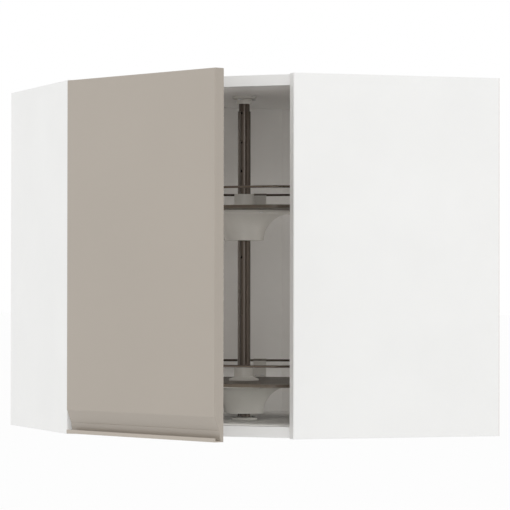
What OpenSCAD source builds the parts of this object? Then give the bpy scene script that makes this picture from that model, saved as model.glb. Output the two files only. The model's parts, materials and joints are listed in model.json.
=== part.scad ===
// Corner wall cabinet with a diagonal hinged door and two round trays that turn on a pole.
// The origin is on the underside of the bottom panel, on the carousel axis.
// +Z is up, the diagonal front faces -Y, and the room corner lies behind it on +Y.

/* [Cabinet] */
// Height of the side panels
cabinet_h = 600; // [520:1:1000]
// Length of each wall side, from the room corner to a side panel's outer face
wall_leg = 666; // [620:1:760]
// How far the pole stands in front of the line between the side panels' rear ends
pole_forward = 7; // [0:0.5:10]
// Depth of the side panels
side_depth = 368; // [350:1:390]
// Thickness of the side, top and bottom panels
panel_t = 18; // [16:0.5:20]
// How far the side panels stand past the top and bottom panels
panel_step = 1.2; // [0.5:0.1:3]
// How far the top and bottom panels' front edges sit behind the side panels' inner corners
front_setback = 2; // [0.5:0.1:4]

/* [Back] */
// Thickness of the back panels
back_t = 3.2; // [2.5:0.1:5]
// Gap between the wall and the back panels
back_inset = 14; // [10:0.5:20]
// Depth of the grooves that hold the back panels
groove_depth = 6; // [3:0.5:8]
// Clearance of a back panel in its groove, each side
groove_clear = 0.1; // [0.05:0.05:0.3]
// Distance from the room corner at which the corner back panel meets the others
corner_cut = 150; // [120:1:180]
// Width of the notch in a back panel that leaves its hanger free
notch_w = 66; // [60:1:90]
// Height of that notch, down from the top panel
notch_h = 62; // [55:1:90]

/* [Joinery] */
// Diameter of the wooden dowels
dowel_d = 8; // [6:0.5:10]
// Length of a dowel inside the side panel
dowel_in_side = 10; // [6:0.5:12]
// Length of a dowel inside the top or bottom panel
dowel_in_end = 22; // [15:1:30]
// Distance of the dowels from the wall end and from the front end of the joint
dowel_from_end = 50; // [35:1:60]
// Diameter of the cam locks
cam_d = 15; // [12:0.5:16]
// Height of the cam locks
cam_h = 13.2; // [12.8:0.1:14]
// Distance from the side panel to a cam lock's centre
cam_reach = 34; // [24:1:40]
// Distance from a dowel to the cam lock beside it
cam_spacing = 40; // [30:1:60]
// Diameter of a cam bolt's shank
cam_bolt_d = 5; // [4:0.5:6]
// Diameter of a cam bolt's threaded end and of its head
cam_thread_d = 7; // [6.5:0.5:8]
// Length of a cam bolt's head
cam_head_l = 3; // [2:0.5:4]

/* [Hangers] */
// Thickness of the steel hanger plates
hanger_t = 2.5; // [2:0.1:4]
// Height of a hanger
hanger_h = 50; // [40:1:52]
// Length of a hanger along the wall
hanger_l = 58; // [50:1:58]
// Distance from the wall to a hanger's front face
hanger_depth = 12; // [9:0.5:12]
// Diameter of the wall bolt hole
hanger_hole_d = 9; // [6:0.5:12]
// Gap between the top panel and a hanger
hanger_gap = 4; // [2:0.5:8]
// Gap between the wall and a hanger's plate on the side panel
wall_gap = 1; // [0.5:0.5:2]

/* [Pole] */
// Outer diameter of the carousel pole
pole_d = 22.3; // [20:0.1:25]
// Wall of the carousel pole
pole_wall = 1.6; // [1.2:0.1:2]
// Outer diameter of the sliding inner pole
inner_d = 19; // [17:0.1:19]
// Wall of the sliding inner pole
inner_wall = 1.5; // [1.2:0.1:2]
// Distance from the roof down to the outer pole's top end
pole_top_drop = 26; // [22:0.5:40]
// Distance from the roof down to the top flange's lower end
boss_drop = 13; // [11:0.5:18]
// Length of the inner pole below the outer pole's top end
inner_overlap = 40; // [30:1:50]
// Diameter of the row of adjusting holes
pole_hole_d = 4.4; // [3:0.1:6]
// Spacing of the adjusting holes
pole_hole_pitch = 50; // [40:1:60]
// Height of the lowest adjusting hole
pole_hole_z = 299.8; // [290:0.1:310]
// Number of adjusting holes
pole_hole_count = 6; // [3:1:6]
// Diameter of the top flange
top_flange_d = 42; // [38:0.5:60]
// Thickness of the top flange
top_flange_t = 5; // [3.5:0.1:6]
// Outer diameter of the top flange's boss
boss_d = 25; // [23.5:0.1:28]
// Diameter of the bottom flange
bottom_flange_d = 45; // [42:0.5:60]
// Thickness of the bottom flange
bottom_flange_t = 4.5; // [3.5:0.1:6]
// Height of the bottom flange's spigot inside the pole
spigot_h = 18; // [12:1:24]
// Thickness of the top flange above the inner pole
flange_web = 4; // [3:0.1:4]
// Clearance of the flanges on the poles
seat_clear = 0.05; // [0.02:0.01:0.1]

/* [Carousel] */
// Diameter of the trays
tray_d = 476; // [470:1:478]
// Distance from the pole's axis to a tray's straight front edge
tray_front = 190; // [180:1:200]
// Radius of a tray's front corners
tray_corner_r = 25; // [15:1:40]
// Thickness of the trays
tray_t = 5.4; // [4:0.1:8]
// Height of the support pin under the lower tray
lower_pin_z = 49.8; // [49:0.1:56]
// Height from a support pin to its tray's underside
pin_to_tray = 30.3; // [28:0.1:31]
// Diameter of the support pins
pin_d = 4; // [3:0.1:4.2]
// Length of the support pins
pin_l = 30; // [28:1:34]
// Thickness of the thrust washers
washer_t = 1.5; // [1:0.1:2]
// Outer diameter of the thrust washers
washer_d = 32; // [30:0.5:34]
// Gap between a thrust washer and the bush that turns on it
washer_gap = 0.3; // [0.1:0.05:0.5]
// Outer diameter of the bearing bushes
bush_d = 28; // [26.5:0.1:30]
// Running clearance of a bush on the pole
bush_clear = 0.05; // [0.02:0.01:0.1]
// Extra clearance of the hubs and collars round the pole
bore_gap = 0.4; // [0.2:0.05:0.8]
// Diameter of the rail wire
rail_wire_d = 4; // [3:0.1:5]
// How much thicker the rail wire is round its two front bends
rail_bend_extra = 0.2; // [0.1:0.1:0.4]
// Height of the rail above the tray
rail_rise = 30; // [25:0.5:60]
// Distance from the tray's edge in to the rail wire's centre
rail_edge = 2; // [2:0.1:8]
// Turn of the two rear rail brackets from straight back
rear_bracket_turn = 18.5; // [12:0.5:40]
// Turn of the two front rail brackets from straight back
front_bracket_turn = 105; // [80:1:125]
// Width of a rail bracket
bracket_w = 23; // [16:0.5:30]
// Thickness of a rail bracket
bracket_t = 2.4; // [2:0.1:3]
// Wall of a rail bracket's clip round the wire
clip_wall = 1.6; // [1.2:0.1:2]
// How far below the wire's centre the clip is open towards the tray
clip_open = 0.8; // [0.2:0.1:1.2]
// Length of a rail bracket's foot on the tray
bracket_foot = 14; // [12:0.5:20]
// Diameter of the collars on the trays
collar_d = 34; // [32:0.5:44]
// Height of the collars
collar_h = 24; // [20:0.5:40]
// Diameter of a collar's foot
collar_foot_d = 52; // [48:0.5:70]
// Thickness of a collar's foot
collar_foot_t = 6.4; // [4:0.1:8]
// Thickness of a collar's lip over its bush
collar_lip_t = 3; // [2:0.1:4]

/* [Hub] */
// Diameter of a hub's lower end
hub_d = 68; // [62:0.5:72]
// Height of a hub under its tray
hub_h = 51; // [50:0.1:52]
// Radius of a hub's concave flank
hub_flank_r = 46; // [40:0.5:46]
// Diameter of a hub's flange
hub_flange_d = 184; // [176:1:200]
// Thickness of a hub's flange
hub_flange_t = 3.9; // [2.5:0.1:4.2]
// Wall of a hub
hub_wall = 2.5; // [2:0.1:3]
// Wall of the sleeve inside a hub
hub_sleeve_wall = 3; // [2:0.1:4]
// Distance from a hub's upper face down to its ribs
rib_drop = 0.6; // [0.4:0.1:1.5]
// Number of ribs in a hub
hub_ribs = 6; // [4:1:10]
// Number of hub screws
hub_screws = 4; // [3:1:6]
// Distance from a hub flange's edge to its screws
hub_screw_edge = 5; // [4.5:0.1:7]

/* [Door] */
// How far the door reaches past the side panels' inner corners, each side
door_overlap = 0.5; // [-1:0.1:1]
// Distance from the door's upper edge down to the side panels' upper edge
door_drop = 1.5; // [0.5:0.1:2]
// Thickness of the door
door_t = 18.5; // [17.5:0.1:19]
// Gap between the closed door and the side panels' inner corners
door_gap = 3; // [2.6:0.1:4]
// Height of the door's lower edge above the side panels' lower edge
door_lift = 1.5; // [0.5:0.1:2]
// Angle that the door stands open at rest
door_open = 24.8; // [0:0.1:60]

/* [Grip] */
// Height of the grip recess above the door's lower edge
grip_h = 40; // [34:0.5:60]
// Height of the bend between the recess's sloped and upright faces
grip_bend_h = 19; // [15:0.5:24]
// Depth of the recess at that bend
grip_bend_d = 9; // [7:0.1:10]
// Depth of the recess behind the lip
grip_d = 12; // [10.5:0.1:12.5]
// Height of the lip along the door's lower edge
lip_h = 6.4; // [5:0.1:9]
// Thickness of the lip profile
lip_t = 1.7; // [1.2:0.1:2.2]
// How far the recess's upright face leans forward by the middle of its height
grip_lean = 1.2; // [0.5:0.1:2]

/* [Hinges] */
// Distance from the door's upper and lower edges to the hinges
hinge_from_edge = 70; // [65:1:72]
// Diameter of the hinge cups
cup_d = 35; // [34:0.5:36]
// Depth of the hinge cups in the door
cup_depth = 13.5; // [13.2:0.1:14]
// Width of a cup's rim outside its pocket
cup_rim_w = 2; // [1.5:0.1:2.5]
// Width of a cup's screw plate
cup_plate_w = 12; // [10:0.5:12]
// Distance from a cup's centre to its screws, along the door's edge
cup_screw_z = 26; // [24:0.5:28]
// Wall of the hinge cups
cup_wall = 0.9; // [0.8:0.05:1]
// Distance from the door's edge to a cup
cup_edge = 5; // [4:0.1:5]
// Thickness of a cup's rim on the door
rim_t = 1.4; // [1:0.1:1.6]
// Distance from the door's edge to the door pivot
pivot_edge = 10; // [9.5:0.1:10.5]
// Depth of the door pivot behind the door's front face
pivot_depth = 9; // [8.8:0.1:9.4]
// Distance of the arm pivot behind the side panel's inner corner, along the panel
arm_back = 60; // [56:0.5:62]
// Distance of the arm pivot off the side panel
arm_off = 8; // [7.8:0.1:8.4]
// Share of the door's angle that the arms turn through
arm_share = 0.22; // [0.2:0.01:0.24]
// Thickness of the arms
arm_t = 4.4; // [3.6:0.1:4.6]
// Thickness of the arms' ends inside the cups
arm_tip_t = 4; // [3.2:0.1:4]
// How much thicker the arms are at their bends
bend_extra = 0.3; // [0.2:0.1:0.4]
// Height of the arms
arm_h = 14; // [12:0.5:16]
// Height of the arms inside the cups
arm_tip_h = 9.6; // [8:0.1:9.8]
// Distance from the door pivot to the arm's bend beside the cup, along the closed door
knee_x = 16.6; // [16.2:0.1:17]
// Distance from the door pivot to that bend, towards the cabinet
knee_y = 3.2; // [3:0.1:3.4]
// Distance from the door pivot to the arm's bend behind the door, along the closed door
neck_x = 13.7; // [13.4:0.1:14]
// Distance from the door pivot to that bend, towards the cabinet
neck_y = 30.4; // [30:0.1:31]
// Gap above and below an arm in its base and cup
arm_side_gap = 0.3; // [0.1:0.05:0.5]
// Diameter of the base pivot pins
base_pin_d = 5; // [4:0.1:5.5]
// Diameter of the door pivot pins
cup_pin_d = 3; // [2.6:0.1:3.2]
// Running clearance of the arms on their pins
pin_clear = 0.05; // [0.02:0.01:0.1]
// Thickness of the base plates
base_t = 2; // [1.6:0.1:2.4]
// Height of the base plates
base_h = 46; // [42:1:52]

/* [Fasteners] */
// Diameter of the wood screws' heads
screw_head_d = 7; // [6:0.1:7.5]
// Width of the cross in a screw's head
cross_w = 0.8; // [0.6:0.1:1]
// Width of the cross in a cam lock's head
cam_cross_w = 1.4; // [1:0.1:1.8]
// Thickness of the wood screws' heads
screw_head_t = 1.6; // [1.2:0.1:2]
// Diameter of the wood screws' shanks
screw_d = 3.5; // [3:0.1:4]
// Length of the wood screws in the panels
screw_l = 13; // [10:0.5:14]
// Length of the short screws in the trays
short_screw_l = 4; // [3:0.1:4.5]
// Thickness of the door bumpers
bumper_t = 4.6; // [2:0.1:4.7]
// Diameter of the door bumpers
bumper_d = 8; // [6:0.5:10]
// Distance from the door's opening edge to the bumpers
bumper_from_edge = 32; // [28:1:60]

/* [Hidden] */

$fn = 72;
// Overshoot of a cut past the face it opens
eps = 1;
root2 = sqrt(2);

// Plan: the room corner, and the side panels' inner front corners
corner_y = wall_leg / root2 + pole_forward;
side_reach = wall_leg - panel_t;
opening_x = (side_reach - side_depth) / root2;
opening_y = corner_y - (side_reach + side_depth) / root2;
front_sum = side_reach + side_depth - front_setback * root2;

// Heights: the bottom panel stands on z = 0
side_z = -panel_step;
floor_z = panel_t;
top_panel_z = cabinet_h - 2 * panel_step - panel_t;
roof_z = top_panel_z;

// Back panels
back_face = back_inset + back_t;
mitre_x = corner_cut + back_t - back_t * root2;
outer_cut = corner_cut + back_inset - back_t * root2 - (back_inset - back_t) * root2;
slot_t = back_t + 2 * groove_clear;

// Pole
pole_r = pole_d / 2;
pole_bore_r = pole_r - pole_wall;
inner_r = inner_d / 2;
pole_foot_z = floor_z + bottom_flange_t;
pole_top_z = roof_z - pole_top_drop;
boss_z = roof_z - boss_drop;
inner_top_z = roof_z - flange_web;
flange_screw_count = 3;
// Slope on a flange's rim
flange_slope = 1.5;

// Carousel
upper_pin_z = pole_hole_z + pole_hole_pitch;
bush_bore_r = pole_r + bush_clear;
bush_r = bush_d / 2;
washer_lift = pin_d / 2;
bush_foot = washer_lift + washer_t + washer_gap;
tray_r = tray_d / 2;
// Centre of a tray's front corner on the right, and its bearing from the pole
corner_reach = tray_r - tray_corner_r;
corner_front = tray_front - tray_corner_r;
corner_mid = [sqrt(corner_reach * corner_reach - corner_front * corner_front), -corner_front];
corner_bearing = atan2(corner_mid.y, corner_mid.x);
corner_steps = 12;
rail_ring_r = tray_r - rail_edge;
rail_wire_r = rail_wire_d / 2;
rail_bend_r = tray_corner_r - rail_edge;
// Degrees by which a front bend runs on into the wire on either side of it
bend_lap = 1;
// How far a bracket's upright reaches into the wire's clip
clip_bite = 0.8;
bush_above_tray = collar_h - collar_lip_t;
hub_r = hub_d / 2;
sleeve_r = bush_r + hub_sleeve_wall;
hub_screw_ring = hub_flange_d / 2 - hub_screw_edge;
bracket_inner_r = rail_ring_r - rail_wire_r - bracket_t + clip_bite;

// Door, drawn closed and then swung to its rest angle
door_w = 2 * (opening_x + door_overlap);
door_h = cabinet_h - door_lift - door_drop;
door_x = -door_w / 2;
door_back_y = opening_y - door_gap;
door_front_y = door_back_y - door_t;
door_z = side_z + door_lift;
hinge_z = [door_z + hinge_from_edge, door_z + door_h - hinge_from_edge];

// Hinge pivots: the arm turns on the base pin, and the door turns on the arm's far end
arm_pivot = [-opening_x + (arm_off - arm_back) / root2, opening_y + (arm_off + arm_back) / root2];
cup_pivot = [door_x + pivot_edge, door_front_y + pivot_depth];
arm_turn = -arm_share * door_open;
cup_pivot_now = arm_pivot + turned(cup_pivot - arm_pivot, arm_turn);
// The arm's two bends, measured from the door pivot with the door closed
knee = cup_pivot + [knee_x, knee_y];
neck = cup_pivot + [neck_x, neck_y];
cup_x = door_x + cup_edge + cup_d / 2;
cup_bore_r = cup_d / 2 - cup_wall;
// The cup screws and the plate's near edge, measured from the cup's centre away from the door's edge
cup_screw_x = 7;
cup_plate_x = 2;
cup_plate_h = 2 * cup_screw_z + 10;
// Width of the ears inside a cup, and thickness of the ears on a base
cup_ear_w = 8;
ear_t = 2.5;
base_pin_l = arm_h + 2 * arm_side_gap + 2 * ear_t;
cup_pin_l = 19.5;
// The base's screws, and its reach behind and in front of the arm pivot
base_screw_x = -28;
base_screw_z = 15;
base_back = 40;
base_front = 12;
base_eye_r = 4.8;
tip_eye_r = 2.8;

// Colours
white = [0.94, 0.94, 0.93];
greige = [0.70, 0.66, 0.61];
steel = [0.72, 0.72, 0.72];
bronze = [0.26, 0.22, 0.19];
tray_brown = [0.31, 0.28, 0.25];
light_grey = [0.75, 0.75, 0.73];
birch = [0.80, 0.66, 0.48];

function turned(v, a) = [v.x * cos(a) - v.y * sin(a), v.x * sin(a) + v.y * cos(a)];

// ---- Placing ----

// The room corner is the origin here, x runs along the left wall and y along the right wall
module in_plan() {
  translate([0, corner_y, 0]) rotate(225) children();
}

// The left side of the cabinet, or its mirror image on the right
module on_side(side) {
  mirror([side == "right" ? 1 : 0, 0, 0]) children();
}

// The foot of the arm pivot on the left side panel: x runs forward along it and y into the cabinet
module at_base(z = 0) {
  foot = arm_pivot - [arm_off, arm_off] / root2;
  translate([foot.x, foot.y, z]) rotate(-45) children();
}

module with_arm() {
  translate([arm_pivot.x, arm_pivot.y, 0])
    rotate(arm_turn)
      translate([-arm_pivot.x, -arm_pivot.y, 0]) children();
}

module with_door() {
  translate([cup_pivot_now.x, cup_pivot_now.y, 0])
    rotate(-door_open)
      translate([-cup_pivot.x, -cup_pivot.y, 0]) children();
}

// The centre of a hinge cup's mouth on the closed door: z points into the door
module at_cup(z) {
  translate([cup_x, door_back_y, z]) rotate([90, 0, 0]) children();
}

// Places of the dowels along a joint between a side panel and the top or bottom panel
function dowel_ys() = [dowel_from_end, side_depth - dowel_from_end];
function cam_ys() = [dowel_from_end + cam_spacing, side_depth - dowel_from_end - cam_spacing];
function end_zs() = [panel_t / 2, top_panel_z + panel_t / 2];

// ---- Fasteners ----

// A screw whose head sits on z = 0 and whose shank runs down
module screw(length) {
  translate([0, 0, -length]) cylinder(d = screw_d, h = length);
  difference() {
    cylinder(d1 = screw_head_d, d2 = screw_head_d * 0.8, h = screw_head_t);
    translate([0, 0, screw_head_t]) cross(screw_head_d * 0.6, cross_w, screw_head_t);
  }
}

// A driver's cross, centred on the face that it cuts
module cross(span, width, height) {
  for (a = [0, 90]) rotate(a) cube([span, width, height], center = true);
}

module screw_hole(length) {
  translate([0, 0, -length]) cylinder(d = screw_d, h = length + eps);
}

// Each set of screws is placed by one module, for the screws and for their holes
module at_hanger_screws() {
  z = roof_z - hanger_gap - hanger_h / 2;
  for (dz = [-1, 1])
    in_plan()
      translate([side_reach - hanger_t, (hanger_depth - hanger_t + wall_gap) / 2, z + dz * hanger_h * 0.3])
        rotate([0, -90, 0]) children();
}

module at_top_flange_screws() {
  for (i = [0:flange_screw_count - 1])
    rotate(30 + i * 360 / flange_screw_count)
      translate([(boss_d + top_flange_d) / 4, 0, roof_z - top_flange_t]) rotate([180, 0, 0]) children();
}

module at_bottom_flange_screws() {
  for (i = [0:flange_screw_count - 1])
    rotate(30 + i * 360 / flange_screw_count)
      translate([(pole_d + bottom_flange_d) / 4, 0, pole_foot_z]) children();
}

module at_base_screws() {
  for (z = hinge_z)
    for (dz = [-1, 1])
      at_base(z) translate([base_screw_x, base_t, dz * base_screw_z]) rotate([-90, 0, 0]) children();
}

module at_cup_screws() {
  for (z = hinge_z)
    for (dz = [-1, 1])
      at_cup(z + dz * cup_screw_z) translate([cup_screw_x, 0, -rim_t]) rotate([180, 0, 0]) children();
}

module at_hub_screws(tray_z) {
  for (i = [0:hub_screws - 1])
    rotate(45 + i * 360 / hub_screws)
      translate([hub_screw_ring, 0, tray_z - hub_flange_t]) rotate([180, 0, 0]) children();
}

module at_brackets() {
  for (side = ["left", "right"])
    for (turn = [rear_bracket_turn, front_bracket_turn])
      on_side(side) rotate(90 + turn) children();
}

module at_bracket_screws(tray_z) {
  for (dy = [-1, 1])
    at_brackets()
      translate([bracket_inner_r - bracket_foot / 2, dy * bracket_w / 4, tray_z + tray_t + bracket_t])
        children();
}

// ---- Carcass ----

module dowel_row(extra = 0) {
  for (y = dowel_ys())
    for (z = end_zs())
      in_plan() translate([side_reach - dowel_in_end - extra, y, z])
        rotate([0, 90, 0]) cylinder(d = dowel_d, h = dowel_in_end + dowel_in_side + 2 * extra);
}

// Cam bolts: a threaded end in the side panel, a shank, and a head inside the cam lock
module cam_bolt_row() {
  for (y = cam_ys())
    for (z = end_zs())
      in_plan() translate([side_reach, y, z]) rotate([0, 90, 0]) {
        cylinder(d = cam_thread_d, h = dowel_in_side);
        translate([0, 0, -cam_reach]) cylinder(d = cam_bolt_d, h = cam_reach);
        translate([0, 0, -cam_reach]) cylinder(d = cam_thread_d, h = cam_head_l);
      }
}

module cam_bolt_holes() {
  for (y = cam_ys())
    for (z = end_zs())
      in_plan() translate([side_reach, y, z]) rotate([0, 90, 0]) {
        cylinder(d = cam_thread_d, h = dowel_in_side);
        translate([0, 0, -cam_reach]) cylinder(d = cam_thread_d, h = cam_reach);
      }
}

// Cam locks sit in pockets from the outer face of the top and of the bottom panel
module cam_row(d, h, lift = 0) {
  for (y = cam_ys()) {
    in_plan() translate([side_reach - cam_reach, y, -lift]) cylinder(d = d, h = h + lift);
    in_plan() translate([side_reach - cam_reach, y, top_panel_z + panel_t - h])
      cylinder(d = d, h = h + lift);
  }
}

module side_panel() {
  difference() {
    in_plan() translate([side_reach, 0, side_z]) cube([panel_t, side_depth, cabinet_h]);
    in_plan() translate([side_reach - eps, back_inset - groove_clear, floor_z - groove_depth])
      cube([groove_depth + eps, slot_t, roof_z - floor_z + 2 * groove_depth]);
    dowel_row();
    cam_bolt_holes();
    at_hanger_screws() screw_hole(screw_l);
  }
}

module side_panel_left() {
  color(white) difference() {
    side_panel();
    at_base_screws() screw_hole(screw_l);
  }
}

module side_panel_right() {
  color(white) on_side("right") side_panel();
}

// Outline of the top and bottom panels, between the side panels
module plate_outline() {
  polygon([
    [outer_cut, 0], [side_reach, 0], [side_reach, front_sum - side_reach],
    [front_sum - side_reach, side_reach], [0, side_reach], [0, outer_cut]
  ]);
}

// Line of the back panels, widened by the groove clearance
module groove_outline() {
  for (i = [0, 1])
    mirror(i == 1 ? [1, -1, 0] : [0, 0, 0])
      translate([mitre_x, back_inset - groove_clear])
        square([side_reach - mitre_x + eps, slot_t]);
  groove_corner_outline();
}

module groove_corner_outline() {
  polygon([
    [mitre_x - groove_clear, back_inset - groove_clear],
    [corner_cut + groove_clear, back_face + groove_clear],
    [back_face + groove_clear, corner_cut + groove_clear],
    [back_inset - groove_clear, mitre_x - groove_clear]
  ]);
}

module end_plate(z, groove_z) {
  difference() {
    in_plan() translate([0, 0, z]) linear_extrude(panel_t) plate_outline();
    in_plan() translate([0, 0, groove_z]) linear_extrude(groove_depth + eps) groove_outline();
    for (side = ["left", "right"])
      on_side(side) {
        dowel_row();
        cam_bolt_holes();
        cam_row(cam_d, cam_h, eps);
      }
  }
}

module top_panel() {
  color(white) difference() {
    end_plate(top_panel_z, top_panel_z - eps);
    at_top_flange_screws() screw_hole(screw_l);
  }
}

module bottom_panel() {
  color(white) difference() {
    end_plate(0, floor_z - groove_depth);
    at_bottom_flange_screws() screw_hole(screw_l);
  }
}

module back_panel() {
  low = floor_z - groove_depth + groove_clear;
  high = roof_z + groove_depth - groove_clear;
  far = side_reach + groove_depth - groove_clear;
  difference() {
    in_plan() translate([0, 0, low]) linear_extrude(high - low)
      polygon([[mitre_x, back_inset], [far, back_inset], [far, back_face], [corner_cut, back_face]]);
    in_plan() translate([side_reach - notch_w, back_inset - eps, roof_z - notch_h])
      cube([notch_w + groove_depth + eps, back_t + 2 * eps, notch_h + groove_depth + eps]);
  }
}

module back_panel_left() {
  color(white) back_panel();
}

module back_panel_right() {
  color(white) on_side("right") back_panel();
}

module back_panel_corner() {
  low = floor_z - groove_depth + groove_clear;
  high = roof_z + groove_depth - groove_clear;
  color(white) in_plan() translate([0, 0, low]) linear_extrude(high - low)
    polygon([
      [mitre_x, back_inset], [corner_cut, back_face],
      [back_face, corner_cut], [back_inset, mitre_x]
    ]);
}

module dowels() {
  color(birch) for (side = ["left", "right"]) on_side(side) dowel_row();
}

module cam_bolts() {
  color(steel) for (side = ["left", "right"]) on_side(side) cam_bolt_row();
}

// Each cam lock is a drum with a pocket that grips its bolt's head, and a cross for the driver
module cam_locks() {
  color(steel) for (side = ["left", "right"]) on_side(side) difference() {
    cam_row(cam_d, cam_h);
    for (y = cam_ys())
      for (z = end_zs())
        in_plan() translate([side_reach - cam_reach, y, z])
          rotate([0, 90, 0]) cylinder(d = cam_thread_d, h = cam_d);
    for (y = cam_ys())
      for (z = [0, top_panel_z + panel_t])
        in_plan() translate([side_reach - cam_reach, y, z]) cross(cam_thread_d, cam_cross_w, cam_head_l);
  }
}

// ---- Hangers ----

module hanger() {
  z = roof_z - hanger_gap - hanger_h;
  difference() {
    in_plan() translate([0, 0, z]) {
      translate([side_reach - hanger_t, wall_gap, 0])
        cube([hanger_t, hanger_depth - wall_gap, hanger_h]);
      translate([side_reach - hanger_l, hanger_depth - hanger_t, 0])
        cube([hanger_l, hanger_t, hanger_h]);
    }
    in_plan() translate([side_reach - hanger_l / 2, hanger_depth + eps, z + hanger_h / 2])
      rotate([90, 0, 0]) cylinder(d = hanger_hole_d, h = hanger_t + 2 * eps);
    at_hanger_screws() screw_hole(screw_l);
  }
}

module hanger_left() {
  color(steel) hanger();
}

module hanger_right() {
  color(steel) on_side("right") hanger();
}

module hanger_screws() {
  color(steel) for (side = ["left", "right"]) on_side(side) at_hanger_screws() screw(screw_l);
}

// ---- Pole ----

module top_flange() {
  color(light_grey) difference() {
    union() {
      translate([0, 0, roof_z - top_flange_t + flange_slope])
        cylinder(d = top_flange_d, h = top_flange_t - flange_slope);
      translate([0, 0, roof_z - top_flange_t])
        cylinder(d1 = top_flange_d - 4 * flange_slope, d2 = top_flange_d, h = flange_slope);
      translate([0, 0, boss_z]) cylinder(d = boss_d, h = boss_drop);
    }
    translate([0, 0, boss_z - eps])
      cylinder(r = inner_r + seat_clear, h = inner_top_z - boss_z + eps);
    at_top_flange_screws() screw_hole(top_flange_t + eps);
  }
}

module bottom_flange() {
  color(light_grey) difference() {
    union() {
      translate([0, 0, floor_z]) cylinder(d = bottom_flange_d, h = bottom_flange_t - flange_slope);
      translate([0, 0, pole_foot_z - flange_slope])
        cylinder(d1 = bottom_flange_d, d2 = bottom_flange_d - 4 * flange_slope, h = flange_slope);
      translate([0, 0, pole_foot_z]) cylinder(r = pole_bore_r - seat_clear, h = spigot_h);
    }
    at_bottom_flange_screws() screw_hole(bottom_flange_t + eps);
  }
}

module flange_screws() {
  color(steel) {
    at_top_flange_screws() screw(screw_l);
    at_bottom_flange_screws() screw(screw_l);
  }
}

module support_pin(z, clear = 0) {
  translate([0, pin_l / 2, z]) rotate([90, 0, 0]) cylinder(d = pin_d + 2 * clear, h = pin_l);
}

module pole_outer() {
  color(bronze) difference() {
    translate([0, 0, pole_foot_z]) cylinder(r = pole_r, h = pole_top_z - pole_foot_z);
    translate([0, 0, pole_foot_z - eps])
      cylinder(r = pole_bore_r, h = pole_top_z - pole_foot_z + 2 * eps);
    // The second hole is the upper support pin's
    for (i = [0:pole_hole_count - 1])
      if (i != 1)
        pole_hole(i);
    support_pin(upper_pin_z);
    support_pin(lower_pin_z);
  }
}

// One of the adjusting holes in the pole's front, counted from the lowest
module pole_hole(i) {
  translate([0, 0, pole_hole_z + i * pole_hole_pitch])
    rotate([90, 0, 0]) cylinder(d = pole_hole_d, h = pole_d);
}

module pole_inner() {
  low = pole_top_z - inner_overlap;
  color(bronze) difference() {
    translate([0, 0, low]) cylinder(r = inner_r, h = inner_top_z - low);
    translate([0, 0, low - eps]) cylinder(r = inner_r - inner_wall, h = inner_top_z - low + 2 * eps);
    pole_hole(pole_hole_count - 1);
  }
}

module thrust_washer(z) {
  color(light_grey) translate([0, 0, z + washer_lift]) difference() {
    cylinder(d = washer_d, h = washer_t);
    translate([0, 0, -eps]) cylinder(r = bush_bore_r, h = washer_t + 2 * eps);
  }
}

module support_pin_upper() {
  color(steel) support_pin(upper_pin_z);
}

module support_pin_lower() {
  color(steel) support_pin(lower_pin_z);
}

module thrust_washer_upper() {
  thrust_washer(upper_pin_z);
}

module thrust_washer_lower() {
  thrust_washer(lower_pin_z);
}

// ---- Carousel: every piece of one level is placed by the height of its support pin ----

module tray(pin_z) {
  z = pin_z + pin_to_tray;
  color(tray_brown) difference() {
    translate([0, 0, z]) {
      tray_disc();
      linear_extrude(tray_t) tray_front_outline();
    }
    translate([0, 0, z - eps]) cylinder(r = bush_r, h = tray_t + 2 * eps);
    at_hub_screws(z) screw_hole(hub_flange_t + short_screw_l);
    at_bracket_screws(z) screw_hole(bracket_t + short_screw_l);
  }
}

// The round part of a tray, back from where its front corners begin
module tray_disc() {
  difference() {
    cylinder(r = tray_r, h = tray_t, $fn = 180);
    translate([-tray_d, tray_r * sin(corner_bearing) - tray_d, -eps])
      cube([2 * tray_d, tray_d, tray_t + 2 * eps]);
  }
}

// The strip along a tray's straight front, from one rounded corner to the other
module tray_front_outline() {
  step = (90 + corner_bearing) / corner_steps;
  corner = [
    for (i = [0:corner_steps])
      corner_mid + tray_corner_r * [cos(corner_bearing - i * step), sin(corner_bearing - i * step)]
  ];
  polygon(concat(corner, [for (i = [corner_steps:-1:0]) [-corner[i].x, corner[i].y]]));
}

module bush(pin_z) {
  low = pin_z + bush_foot;
  high = pin_z + pin_to_tray + tray_t + bush_above_tray;
  color(light_grey) translate([0, 0, low]) difference() {
    cylinder(r = bush_r, h = high - low);
    translate([0, 0, -eps]) cylinder(r = bush_bore_r, h = high - low + 2 * eps);
  }
}

module hub(pin_z) {
  z = pin_z + pin_to_tray;
  bottom = z - hub_h;
  color(light_grey) difference() {
    union() {
      translate([0, 0, bottom]) rotate_extrude($fn = 120) difference() {
        hub_outer_section();
        hub_inner_section();
      }
      intersection() {
        translate([0, 0, bottom]) rotate_extrude($fn = 120) hub_outer_section();
        hub_core(pin_z, z);
      }
    }
    translate([0, 0, bottom - eps]) cylinder(r = bush_bore_r + bore_gap, h = hub_h);
    translate([0, 0, pin_z + bush_foot]) cylinder(r = bush_r, h = hub_h);
    at_hub_screws(z) screw_hole(hub_flange_t + eps);
  }
}

// The sleeve around the bush, and ribs that join it to the wall above the support pin
module hub_core(pin_z, z) {
  low = pin_z + bush_foot + bore_gap;
  translate([0, 0, low]) cylinder(r = sleeve_r, h = z - low);
  for (i = [0:hub_ribs - 1])
    rotate(i * 360 / hub_ribs)
      translate([bush_r + hub_sleeve_wall / 2, -hub_wall / 2, low])
        cube([hub_r + hub_flank_r, hub_wall, z - low - rib_drop]);
}

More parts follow.
